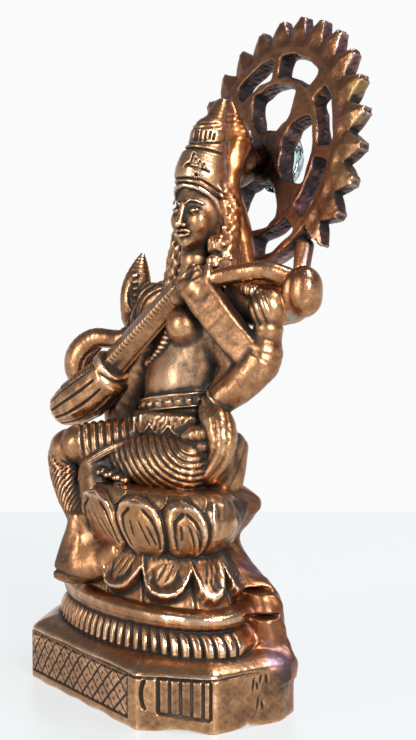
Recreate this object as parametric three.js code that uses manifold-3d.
// A small cast copper-finish figure of a four-armed seated goddess who plays a long-necked lute.
// She sits on a lotus on a stepped plinth, and an openwork rayed halo stands behind her head.
// Millimetres, +Z up. The figure faces -Y, and the origin is at the middle of the plinth's underside.

import * as THREE from "three";
import { mergeVertices } from "three/addons/utils/BufferGeometryUtils.js";
import Module from "manifold-3d";

const wasm = await Module();
wasm.setup();

// Driving dimensions, in millimetres
const plinthWidth = 83;
const plinthDepth = 44;
const plinthHeight = 14; // up to where the shoulder starts
const shoulderHeight = 2.4;
const shoulderInset = 4;
const frontChamfer = 14;
const backChamfer = 10;
const panelDepth = 0.8;
const panelMargin = 2.6;
const barCount = 5;

const ringHeight = 6.8; // the fluted ring above the plinth
const ringInset = 4; // from the plinth's side to the ring
const fluteCount = 40;
const fluteDepth = 0.8;
const discHeight = 4.2; // the plain round-edged disc above the ring
const discInset = 5.4;

const lowerLotusHeight = 12.6; // from the disc up to the waist
const upperLotusHeight = 15.2; // from the waist up to the seat
const petalCount = 10;
const petalRelief = 2;
const lowerInset = 8.4; // from the plinth's side to the tips of the hanging petals
const notchHeight = 4.5; // between the tips of those petals
const waistInset = 16;
const bowlInset = 8.6;
const seatInset = 12.5;

const figureHeight = 101; // from the seat to the tip of the topknot
const backWallDepth = 20.6; // how far back the plain rear of the throne reaches
const wallFront = 8; // where that plain mass starts, behind the lotus axis

const haloRadius = 39.5; // to the tips of the rays
const haloRootRadius = 35.4; // where the rays start
const haloThickness = 5.4;
const bandInner = 28.4;
const ringOuter = 22.4;
const ringInner = 20.3;
const hubRadius = 7.4;
const haloLeanDegrees = 13.5;
const rayCount = 20;
const rayPitchDegrees = 13.73;
const firstRayDegrees = -39;
const rayTipWidth = 2.6;
const stemWidth = 4.4;
const bossRadius = 8.6; // the glass dome behind the hub
const bossHeight = 5;
const castGap = 0.3; // between parts that were cast apart and then joined

// Heights of the throne's courses
const ringBase = plinthHeight + shoulderHeight;
const discBase = ringBase + ringHeight;
const lotusBase = discBase + discHeight;
const waistLevel = lotusBase + lowerLotusHeight;
const seatLevel = waistLevel + upperLotusHeight;

// Half sizes of the throne's ovals follow the plinth; they grow rounder towards the seat
const halfWidth = plinthWidth / 2;
const halfDepth = plinthDepth / 2;
const oval = (inset) => ({ a: halfWidth - inset, b: halfDepth - 2 - inset * 0.42 });

// Solids: closed meshes in, one joined mesh out; faces flatter than this are merged
const flatness = 0.4;

function solid(geometry) {
  const bare = geometry.index ? geometry.toNonIndexed() : geometry.clone();
  for (const name of Object.keys(bare.attributes)) {
    if (name !== "position") bare.deleteAttribute(name);
  }
  const merged = mergeVertices(bare, 1e-4);
  const mesh = new wasm.Mesh({
    numProp: 3,
    vertProperties: new Float32Array(merged.attributes.position.array),
    triVerts: new Uint32Array(merged.index.array),
  });
  mesh.merge();
  return new wasm.Manifold(mesh);
}

function fuse(solids) {
  return wasm.Manifold.union(solids).simplify(flatness);
}

// A casting has no sealed hollows: the gaps shut in between overlapping forms are metal
function filled(manifold) {
  const shells = manifold.decompose().filter((shell) => shell.volume() > 0);
  return wasm.Manifold.union(shells);
}

function geometryOf(manifold) {
  const mesh = manifold.getMesh();
  const positions = new Float32Array(mesh.numVert * 3);
  for (let i = 0; i < mesh.numVert; i++) {
    for (let k = 0; k < 3; k++) positions[3 * i + k] = mesh.vertProperties[mesh.numProp * i + k];
  }
  const geometry = new THREE.BufferGeometry();
  geometry.setAttribute("position", new THREE.BufferAttribute(positions, 3));
  geometry.setIndex(Array.from(mesh.triVerts));
  geometry.computeVertexNormals();
  return geometry;
}

// Rings of equal point counts, joined side to side and closed at both ends
function loft(rings) {
  const count = rings[0].length;
  const centre = (ring) =>
    ring.reduce((sum, p) => sum.add(p), new THREE.Vector3()).divideScalar(count);
  const points = [...rings.flat(), centre(rings[0]), centre(rings[rings.length - 1])];
  const foot = rings.length * count;
  const faces = [];
  for (let i = 0; i < count; i++) {
    const j = (i + 1) % count;
    for (let k = 0; k + 1 < rings.length; k++) {
      const a = k * count;
      const b = a + count;
      faces.push(a + i, a + j, b + j, a + i, b + j, b + i);
    }
    const top = (rings.length - 1) * count;
    faces.push(foot, j, i, foot + 1, top + i, top + j);
  }
  const geometry = new THREE.BufferGeometry().setFromPoints(points);
  geometry.setIndex(faces);
  return solid(geometry);
}

// An oval ring of points around the throne's axis, with an optional ripple of flutes
function ovalRing({ a, b }, z, count, ripple = 0) {
  return Array.from({ length: count }, (_, i) => {
    const t = (i / count) * 2 * Math.PI;
    const crest = ripple * (i % 2 ? -1 : 1) * 0.5;
    return new THREE.Vector3((a + crest) * Math.cos(t), (b + crest) * Math.sin(t), z);
  });
}

function ball(centre, radii, turn = new THREE.Euler(), around = 9, up = 6) {
  const geometry = new THREE.SphereGeometry(1, around, up);
  geometry.scale(radii[0], radii[1], radii[2]);
  geometry.applyQuaternion(new THREE.Quaternion().setFromEuler(turn));
  geometry.translate(centre.x, centre.y, centre.z);
  return solid(geometry);
}

// A rounded tube through stations of [point, half width, half height]
function limb(stations, sides = 10, sideways = new THREE.Vector3(1, 0, 0)) {
  const rings = [];
  const last = stations.length - 1;
  stations.forEach(([point, width, height = width], k) => {
    const before = stations[Math.max(k - 1, 0)][0];
    const after = stations[Math.min(k + 1, last)][0];
    const along = after.clone().sub(before).normalize();
    const across = sideways.clone().addScaledVector(along, -sideways.dot(along)).normalize();
    const over = new THREE.Vector3().crossVectors(along, across);
    const ringAt = (shift, share) =>
      Array.from({ length: sides }, (_, i) => {
        const t = (i / sides) * 2 * Math.PI;
        return point
          .clone()
          .addScaledVector(along, shift)
          .addScaledVector(across, width * share * Math.cos(t))
          .addScaledVector(over, height * share * Math.sin(t));
      });
    const nose = Math.min(width, height);
    if (k === 0) rings.push(ringAt(-0.7 * nose, 0.62));
    rings.push(ringAt(0, 1));
    if (k === last) rings.push(ringAt(0.7 * nose, 0.62));
  });
  return loft(rings);
}

// The same tube with ridges of cloth round it
function pleatedLimb(from, to, pleats, depth, sides, sideways) {
  const stations = [];
  const steps = pleats * 2;
  for (let k = 0; k <= steps; k++) {
    const s = k / steps;
    const swell = k % 2 ? depth : 0;
    stations.push([
      from[0].clone().lerp(to[0], s),
      THREE.MathUtils.lerp(from[1], to[1], s) + swell,
      THREE.MathUtils.lerp(from[2], to[2], s) + swell,
    ]);
  }
  return limb(stations, sides, sideways);
}

// The plinth: a block with cut corners, a sloping shoulder and carved panels
function plinthRing(inset, z) {
  const w = halfWidth - inset;
  const d = halfDepth - inset;
  const front = frontChamfer - inset * 0.5;
  const back = backChamfer - inset * 0.5;
  return [
    [-w + front, -d], [w - front, -d], [w, -d + front], [w, d - back],
    [w - back * 0.35, d - back * 0.35], [w - back, d], [-w + back, d],
    [-w + back * 0.35, d - back * 0.35], [-w, d - back], [-w, -d + front],
  ].map(([x, y]) => new THREE.Vector3(x, y, z));
}

function box(width, depth, height, place, turnZ = 0) {
  const geometry = new THREE.BoxGeometry(width, depth, height);
  geometry.rotateZ(turnZ);
  geometry.translate(place.x, place.y, place.z);
  return solid(geometry);
}

function plinth() {
  const body = loft([
    plinthRing(0, 0),
    plinthRing(0, plinthHeight),
    plinthRing(shoulderInset * 0.22, plinthHeight + shoulderHeight * 0.5),
    plinthRing(shoulderInset * 0.55, plinthHeight + shoulderHeight * 0.85),
    plinthRing(shoulderInset, ringBase),
  ]);
  const panelHeight = plinthHeight - 2 * panelMargin;
  const frontWidth = plinthWidth - 2 * frontChamfer - 2 * panelMargin;
  const middle = plinthHeight / 2;
  const cuts = [
    box(frontWidth, 2 * panelDepth, panelHeight, new THREE.Vector3(0, -halfDepth, middle)),
  ];
  const bars = [];
  for (const side of [-1, 1]) {
    const turn = side * (Math.PI / 4);
    const centre = new THREE.Vector3(
      side * (halfWidth - frontChamfer / 2), -halfDepth + frontChamfer / 2, middle);
    const along = new THREE.Vector3(Math.cos(turn), Math.sin(turn), 0);
    const panelWidth = frontChamfer * Math.SQRT2 - 2 * panelMargin;
    cuts.push(box(panelWidth, 2 * panelDepth, panelHeight, centre, turn));
    const pitch = panelWidth / barCount;
    for (let i = 0; i < barCount; i++) {
      const shift = (i - (barCount - 1) / 2) * pitch;
      const place = centre.clone().addScaledVector(along, shift);
      const inward = new THREE.Vector3(-Math.sin(turn), Math.cos(turn), 0);
      place.addScaledVector(inward, panelDepth * 0.7);
      bars.push(box(pitch * 0.72, 2 * panelDepth, panelHeight + 1, place, turn));
    }
  }
  return fuse([body.subtract(fuse(cuts)), ...bars]);
}

function mouldings() {
  const flutes = fluteCount * 2;
  const ring = oval(ringInset);
  const disc = oval(discInset);
  return [
    loft([
      ovalRing(inside(ring, 0.8), ringBase - 0.4, flutes, fluteDepth * 0.7),
      ovalRing(ring, ringBase + ringHeight * 0.44, flutes, fluteDepth),
      ovalRing(inside(ring, 3), discBase + 0.2, flutes, 0.2),
    ]),
    loft([
      ovalRing(inside(disc, 1.2), discBase - 0.4, 36),
      ovalRing(disc, discBase + discHeight * 0.36, 36),
      ovalRing(inside(disc, 0.5), discBase + discHeight * 0.8, 36),
      ovalRing(inside(disc, 2.6), lotusBase, 36),
    ]),
  ];
}

function inside(size, by) {
  return { a: size.a - by, b: size.b - by };
}

// A ring of petals in relief: shape gives each point's inset and height from u, its place across
// the petal from -1 to 1
const petalColumns = [-0.94, -0.5, 0, 0.5, 0.94];

function petalRing(size, turnShare, shape) {
  const points = [];
  for (let i = 0; i < petalCount; i++) {
    for (const u of petalColumns) {
      const t = -Math.PI / 2 + ((i + turnShare + u / 2) * 2 * Math.PI) / petalCount;
      const [out, z] = shape(u);
      points.push(new THREE.Vector3((size.a + out) * Math.cos(t), (size.b + out) * Math.sin(t), z));
    }
  }
  return points;
}

// The upper lotus: broad petals that stand up round the seat
function upperLotus() {
  const waist = oval(waistInset);
  const bowl = oval(bowlInset);
  const seat = oval(seatInset);
  const levels = [
    [inside(waist, 0.6), -0.04, 0.3], [inside(bowl, 2.4), 0.24, 0.9],
    [bowl, 0.5, 1], [inside(bowl, 0.8), 0.72, 1], [inside(seat, -0.8), 0.92, 0.8],
  ];
  const rings = levels.map(([size, share, relief]) => {
    const z = waistLevel + upperLotusHeight * share;
    const narrow = share > 0.6 ? (share - 0.6) * 2.4 : 0;
    return petalRing(size, 0, (u) => {
      const side = Math.min(1, Math.abs(u) * (1 + narrow * 0.6));
      return [-petalRelief * relief * Math.pow(side, 4), z - narrow * 1.2 * Math.abs(u)];
    });
  });
  rings.push(petalRing(inside(seat, 1.6), 0, () => [0, seatLevel]));
  return loft(rings);
}

// The lower lotus: petals that hang down over the disc, with notches between their tips
function lowerLotus() {
  const waist = oval(waistInset);
  const tips = oval(lowerInset);
  const levels = [
    [tips, 0.02, -1.6], [tips, 0.08, 0], [inside(tips, 1.2), 0.34, 0.2],
    [inside(waist, -2.6), 0.68, 0.1], [waist, 1, 0],
  ];
  const rings = levels.map(([size, share, out]) =>
    petalRing(size, 0.5, (u) => {
      const side = Math.pow(Math.abs(u), 2.6);
      const hang = Math.max(0, 1 - share * 1.5);
      return [out - petalRelief * side * (0.5 + hang), lotusBase + 1
        + (lowerLotusHeight - 1) * share + notchHeight * side * hang];
    }),
  );
  const core = loft([
    ovalRing(inside(tips, 5), lotusBase - 0.6, 24), ovalRing(inside(waist, -1), waistLevel - 3, 24),
  ]);
  return fuse([loft(rings), core]);
}

// The plain mass behind the lotus, from the plinth up to the figure's hips
function backWall() {
  const levels = [
    [plinthHeight - 1, 2.5, 0], [ringBase + 3.6, 3.5, 0], [discBase + 2, 5.5, 0.2],
    [lotusBase + 4, 8.8, 0.6], [lotusBase + 7, 15, 0.8], [waistLevel - 3, 20.6, 1.2],
    [waistLevel + 1, 24, 1.6], [waistLevel + 5.4, 21, 1], [waistLevel + 8, 18, 0.6],
    [seatLevel - 4, 15, 0.4], [seatLevel - 1.4, 16.4, 0.8], [seatLevel + 2, 25, 3],
    [seatLevel + 6, 29, 5],
  ];
  const rings = levels.map(([z, inset, backInset]) => {
    const a = halfWidth - inset;
    const half = (backWallDepth - backInset - wallFront) / 2;
    return Array.from({ length: 12 }, (_, i) => {
      const t = (i / 12) * 2 * Math.PI;
      const square = (v) => Math.sign(v) * Math.pow(Math.abs(v), 0.6);
      const y = wallFront + half + half * square(Math.sin(t));
      return new THREE.Vector3(a * square(Math.cos(t)), y, z);
    });
  });
  return loft(rings);
}

// The figure is laid out in shares of its own height, 101 of them from the seat up
const unit = figureHeight / 101;
const at = (x, y, z) => new THREE.Vector3(x * unit, y * unit, seatLevel + (z - 55) * unit);
const size = (...shares) => shares.map((share) => share * unit);
const station = (x, y, z, width, height = width) => [at(x, y, z), width * unit, height * unit];
const deepways = new THREE.Vector3(0, 1, 0);

function torso() {
  return [
    limb([
      station(0, 7, 57, 17, 10), station(0, 7.6, 63, 15.4, 9.6), station(-0.4, 8.2, 71, 12.4, 8.6),
      station(-0.4, 9.6, 79, 11.2, 8), station(0, 11, 87, 11.4, 7.8), station(0, 13, 95, 13.6, 7.8),
      station(0, 15.2, 102, 15.4, 6.6), station(0, 16.5, 106, 10, 5.4),
    ], 12),
    ball(at(-0.4, 5.2, 81), size(8.6, 4, 6.4)),
    ball(at(7.2, 6.8, 96.6), size(4, 3.8, 3.8)),
    ball(at(-7.2, 6.2, 96.6), size(4, 3.8, 3.8)),
    limb([station(0.4, 14.4, 104, 5), station(0.8, 13.8, 111, 4, 4.2), station(0.8, 14, 118, 4.4)], 9),
    // the belt, and the lower band of its hanging jewels
    limb([station(-0.4, 8.4, 72.6, 12.8, 9.2), station(-0.4, 8.6, 75.4, 12.4, 9)], 12),
    limb([station(-0.2, 7.6, 64.6, 15.6, 10), station(-0.4, 7.8, 68, 13.8, 9.4)], 12),
    // the seat cushion of cloth under the figure
    limb([station(1, 3, 56, 23, 12.4), station(1, 4, 58.6, 19, 10)], 14),
  ];
}

function headAndHair() {
  return [
    ball(at(1.2, 13, 124.4), size(6.8, 7.6, 8.4), new THREE.Euler(0, 0, 0.25), 12, 8),
    ball(at(2, 8.2, 118.8), size(3.2, 3, 2.6)),
    limb([station(2.4, 5.8, 127, 1), station(2.8, 4.6, 122.6, 1.5)], 6),
    // the band over the brow and the crown of hair above it
    limb([
      station(1.2, 14.8, 127, 8, 8.2), station(1.2, 15.2, 131.4, 8, 8), station(1, 16.8, 138, 7, 7),
      station(0.8, 18.2, 142.8, 5.4, 5.6),
    ], 12),
    limb([
      station(0.6, 18.8, 143.6, 5.2, 5.2), station(0.6, 19.4, 146, 6, 5.8), station(0.6, 20.4, 149.6, 4.6, 4.4),
      station(0.6, 21, 150.8, 3, 3), station(0.6, 21.6, 153, 2.4, 2.6), station(0.6, 22, 154.6, 1.4, 1.6),
    ], 10),
    // the heavy fall of hair behind the head, a slab that reaches the shoulders
    limb([
      station(0.6, 22.6, 109, 11, 4.6), station(0.6, 21.6, 116, 11.4, 5.2), station(0.6, 20.4, 126, 10.4, 5.4),
      station(0.6, 20.6, 136, 8.6, 5.4), station(0.6, 22.6, 146, 5.8, 4.8), station(0.6, 24, 153, 3.2, 3.2),
    ], 10),
    // the large earrings that rest on the shoulders
    ball(at(9.6, 13.6, 113.6), size(3.4, 3.4, 4.2), new THREE.Euler(), 8, 6),
    ball(at(-10.6, 13.2, 113.8), size(3.4, 3.6, 4.4), new THREE.Euler(), 8, 6),
    // side locks from the temples down to the shoulders
    limb([station(6.6, 17, 124, 3.4), station(9.4, 17.6, 115, 4), station(11.4, 17.2, 106, 4.4)], 6),
    limb([station(-5.4, 17, 124, 3.4), station(-9.6, 16.6, 115, 3.8), station(-12.4, 16, 106, 4.4)], 6),
  ];
}

function leftArms() {
  return [
    // front arm: shoulder, elbow, and the forearm up to the hand that presses the strings
    ball(at(19.6, 17.6, 103), size(5.8, 5.6, 6), new THREE.Euler(), 10, 7),
    limb([
      station(19.8, 18.2, 100, 5.2), station(20.8, 19, 94.6, 4.2), station(22, 19, 91, 4.8, 5.2),
      station(23.2, 17.8, 86.4, 5.6, 5.6),
    ], 9),
    limb([
      station(21.6, 15.4, 88, 4.6, 5.4), station(16.4, 11.8, 95, 4, 5.2), station(11.4, 9, 102, 3.8, 5),
      station(8.2, 7.6, 107.4, 3.6, 4.6),
    ], 8),
    ball(at(9.8, 7.8, 109.8), size(1.6, 1.6, 2.6), new THREE.Euler(), 6, 5),
    ball(at(5.6, 6.4, 109.4), size(1.6, 1.6, 2.8), new THREE.Euler(), 6, 5),
    // rear arm: it comes down to rest its hand on the thigh
    limb([
      station(21.6, 17.8, 84, 5), station(17, 14.6, 79.6, 5.2), station(13.6, 11.4, 74.6, 4.6),
      station(14.6, 10.6, 70, 4.8), station(13.6, 9, 64, 4.2), station(13, 7.6, 58, 3.6),
    ], 9),
    limb([station(13.6, 8.4, 70.4, 4.4, 3), station(9, 3.4, 67.6, 4, 2.2)], 8),
    limb([station(12.6, 11, 66, 4.4, 3.6), station(11.6, 10.6, 56, 5, 4)], 8),
  ];
}

function rightArms() {
  return [
    // front arm: over the lute, with the hand curled down on the strings
    limb([
      station(-15.6, 14.4, 103.4, 4.8), station(-19.4, 12.6, 101, 5.4), station(-21.6, 9.4, 95, 4.8),
      station(-22.4, 3.6, 90.6, 3.8), station(-25.6, -1.6, 91.4, 3.2, 3.6), station(-29.4, -4, 90.4, 3.2, 3.6),
      station(-31.4, -5, 86.8, 3, 3.4), station(-31.6, -5.2, 83.2, 1.6, 2.4),
    ], 9),
    // rear arm: raised, the palm cupped like a bud
    limb([
      station(-20, 12, 97, 4), station(-26.4, 8.6, 97.4, 3.4), station(-27.6, 9, 102.4, 4, 3.2),
      station(-27, 10.6, 107.6, 4.2, 3.2), station(-26.4, 12.2, 112, 2.6, 2), station(-26.2, 12.8, 114.6, 0.9, 0.8),
    ], 8),
  ];
}

function legs() {
  const lap = new THREE.Vector3(0.3, -0.95, 0);
  return [
    // left leg, folded on the seat: out to the knee and back across the front
    limb([station(6, 9, 63, 8, 7), station(12, 6.4, 62, 7, 6.6)], 10),
    pleatedLimb(station(-8, -7.6, 57.6, 2.6, 2.6), station(8, -1.4, 61, 7.2, 7.4), 4, 0.6, 10, lap),
    limb([station(6, -2, 60.8, 7.2, 7.4), station(11, 0.6, 61, 7.6, 7.4), station(14.6, 2.6, 60.4, 6, 6.4)], 10, lap),
    ball(at(-14, -6.6, 56.4), size(4.4, 3, 2), new THREE.Euler(0, 0, 0.4), 8, 6),
    // right leg: thigh forward, shin down over the lotus
    pleatedLimb(station(-8, 3, 64.6, 8.6, 7.6), station(-18, -11.4, 63.6, 6.8, 6.2), 5, 0.6, 10, deepways),
    pleatedLimb(station(-18.6, -13, 62.6, 6.6, 6), station(-9.6, -15.6, 45, 4.6, 4.4), 6, 0.5, 10, deepways),
  ];
}

function foot() {
  const rest = lotusBase + 2;
  const ankle = at(-9.2, -15.6, 44.4);
  const toes = new THREE.Vector3(-11 * unit, -17.6 * unit, rest);
  const heel = new THREE.Vector3(-5 * unit, -11 * unit, rest + 4);
  return [
    limb([
      [ankle, 3.8 * unit, 3.6 * unit],
      [ankle.clone().lerp(toes, 0.55), 4 * unit, 3.4 * unit],
      [toes, 4.6 * unit, 2 * unit],
    ], 9),
    limb([[toes.clone().lerp(heel, 0.3), 5 * unit, 2.4 * unit], [heel, 7 * unit, 4 * unit]], 8),
  ];
}

// The end of the shawl that falls over the thigh
function sash() {
  return [
    limb([
      station(3, -1, 65.6, 3, 2.2), station(-4, -6.6, 63.4, 3.4, 2), station(-12, -10, 60, 3, 1.6),
      station(-17, -12, 56, 2, 1),
    ], 8),
  ];
}

// The lute: bowl, collar, neck with its flat string board, curled head and upper gourd
const luteHand = at(6.8, 6.2, 107.4);
const luteCollar = at(-15.6, -3.4, 84.4);
const luteSide = new THREE.Vector3(0.55, -0.83, 0);

function lute() {
  const away = luteCollar.clone().sub(luteHand).normalize();
  const rim = luteCollar.clone().addScaledVector(away, -0.9 * unit);
  return [
    limb([
      station(-17, -4, 82.6, 4.4), station(-20, -6, 79.8, 5), station(-24, -8.6, 76.6, 5.6, 5.4),
      station(-26.6, -10.4, 74.8, 5.2, 5),
    ], 12, luteSide),
    limb([[rim, 4.8 * unit, 4.8 * unit], [luteCollar, 4.8 * unit, 4.8 * unit]], 12, luteSide),
    limb([[luteCollar, 3 * unit, 3 * unit], [luteHand, 2.8 * unit, 2.6 * unit]], 8, luteSide),
    limb([
      station(5.6, 5.8, 106, 3, 2.6), station(11, 12, 109.6, 3, 2.4), station(17, 16.6, 111.6, 3, 2.2),
      station(22.6, 20.4, 111.4, 3.2, 2.2), station(27.4, 23.2, 109.4, 4, 3.2),
    ], 8),
    ball(at(31, 24.8, 105.6), size(6.2, 6.2, 6.6), new THREE.Euler(), 12, 8),
    limb([station(28.4, 24, 102.6, 4.2), station(22.4, 19.4, 96.6, 3.4)], 8),
  ];
}

// The halo stands behind the head and its plane leans back
const haloFace = at(0.2, 35.5, 141.1);
const lean = THREE.MathUtils.degToRad(haloLeanDegrees);
const sideways = new THREE.Vector3(1, 0, 0);
const haloNormal = new THREE.Vector3(0, -Math.cos(lean), Math.sin(lean));
const haloUp = new THREE.Vector3(0, Math.sin(lean), Math.cos(lean));
const haloCentre = haloFace.clone().addScaledVector(haloNormal, -haloThickness / 2);

// The bulge of the hair slab reaches back to the halo's hub, where the two are soldered
function headPost() {
  const end = haloFace.clone().addScaledVector(haloNormal, castGap);
  const from = at(0.6, 22, 138);
  const ringAt = (share, width) =>
    Array.from({ length: 10 }, (_, i) => {
      const t = -(i / 10) * 2 * Math.PI;
      return from.clone().lerp(end, share)
        .addScaledVector(sideways, width * unit * Math.cos(t))
        .addScaledVector(haloUp, width * 1.15 * unit * Math.sin(t));
    });
  return loft([ringAt(0, 6.4), ringAt(0.4, 6), ringAt(0.72, 4.4), ringAt(1, 3.6)]);
}

function arc(path, radius, fromDegrees, toDegrees, steps, first) {
  for (let i = 0; i <= steps; i++) {
    const turned = fromDegrees + ((toDegrees - fromDegrees) * i) / Math.max(steps, 1);
    const t = THREE.MathUtils.degToRad(turned);
    const [x, y] = [radius * Math.cos(t), radius * Math.sin(t)];
    if (first && i === 0) path.moveTo(x, y);
    else path.lineTo(x, y);
  }
}

// Slots between the band and the ring, and the four openings between the spokes, in degrees
const slots = [[4, 41], [52, 93], [99, 134], [141, 176], [184, 221], [228, 268], [276, 313], [321, 356]];
const openings = [[-26, 35], [61, 126], [146, 210], [236, 305]];

function haloShape() {
  const shape = new THREE.Shape();
  const tipHalf = THREE.MathUtils.radToDeg(rayTipWidth / 2 / haloRadius);
  for (let k = 0; k < rayCount; k++) {
    const ray = firstRayDegrees + k * rayPitchDegrees;
    arc(shape, haloRootRadius, ray - rayPitchDegrees / 2, ray, 0, k === 0);
    arc(shape, haloRadius, ray - tipHalf, ray + tipHalf, 1);
  }
  const last = firstRayDegrees + (rayCount - 0.5) * rayPitchDegrees;
  arc(shape, haloRootRadius - 1, last, firstRayDegrees - rayPitchDegrees / 2 + 360, 10);
  for (const [from, to] of slots) {
    const middle = (bandInner + ringOuter) / 2;
    const hole = new THREE.Path();
    arc(hole, bandInner, from + 2, to - 2, 3, true);
    arc(hole, middle, to, to, 0);
    arc(hole, ringOuter, to - 2, from + 2, 3);
    arc(hole, middle, from, from, 0);
    hole.closePath();
    shape.holes.push(hole);
  }
  for (const [from, to] of openings) {
    const hole = new THREE.Path();
    const mid = (from + to) / 2;
    arc(hole, ringInner, from + 3, to - 3, 4, true);
    arc(hole, ringInner * 0.82, to + 1, to + 1, 0);
    arc(hole, hubRadius * 1.6, to + 5, to + 5, 0);
    arc(hole, hubRadius, to - 6, from + 6, 3);
    arc(hole, hubRadius * 1.6, from - 7, from - 7, 0);
    arc(hole, ringInner * 0.82, from - 1, from - 1, 0);
    hole.closePath();
    shape.holes.push(hole);
  }
  return shape;
}

// A stem on each side reaches from the band down to the figure
function haloStem(side) {
  const half = stemWidth / 2;
  const place = (x, up, ahead) =>
    sideways.clone().multiplyScalar(side * x)
      .addScaledVector(haloUp, up).addScaledVector(haloNormal, ahead);
  const high = bandInner * 0.86;
  const low = haloRootRadius * 0.86;
  return limb([
    [place(22.6, -high, 0), half * 1.3, half], [place(24, -low, 0.6), half, half],
  ], 8);
}

function halo() {
  const plate = new THREE.ExtrudeGeometry(haloShape(), { depth: haloThickness, bevelEnabled: false });
  plate.translate(0, 0, -haloThickness / 2);
  plate.applyMatrix4(new THREE.Matrix4().makeBasis(sideways, haloUp, haloNormal));
  return fuse([solid(plate), haloStem(1)]);
}

function glassBoss() {
  const steps = 5;
  const profile = [new THREE.Vector2(0, 0)];
  for (let i = 0; i <= steps; i++) {
    const t = (i / steps) * (Math.PI / 2);
    profile.push(new THREE.Vector2(i === steps ? 0 : bossRadius * Math.cos(t), bossHeight * Math.sin(t)));
  }
  const dome = new THREE.LatheGeometry(profile, 18);
  dome.rotateX(Math.PI / 2);
  dome.applyMatrix4(new THREE.Matrix4().makeBasis(
    sideways, haloUp.clone().negate(), haloNormal.clone().negate()));
  return solid(dome);
}

// Materials
const copper = new THREE.MeshStandardMaterial({ color: 0x9a5f3c, roughness: 0.38, metalness: 1 });
const darkCopper = new THREE.MeshStandardMaterial({ color: 0x5a3a2c, roughness: 0.5, metalness: 1 });
const tealGlass = new THREE.MeshStandardMaterial({
  color: 0x2f5f66, roughness: 0.1, metalness: 0, transparent: true, opacity: 0.5,
});

function named(name, manifold, material) {
  const mesh = new THREE.Mesh(geometryOf(manifold), material);
  mesh.name = name;
  return mesh;
}

const figure = filled(fuse([
  plinth(), ...mouldings(), upperLotus(), lowerLotus(), backWall(), ...torso(), ...headAndHair(), headPost(),
  ...leftArms(), ...rightArms(), ...legs(), ...foot(), ...sash(), ...lute(),
]));

const object = new THREE.Group();
object.add(named("seated_goddess_on_lotus", figure, copper));

const haloMesh = named("rayed_halo", halo(), darkCopper);
haloMesh.position.copy(haloCentre);
object.add(haloMesh);

const boss = named("hub_glass", glassBoss(), tealGlass);
boss.position.copy(haloCentre).addScaledVector(haloNormal, -haloThickness / 2 - castGap);
object.add(boss);

export default object;
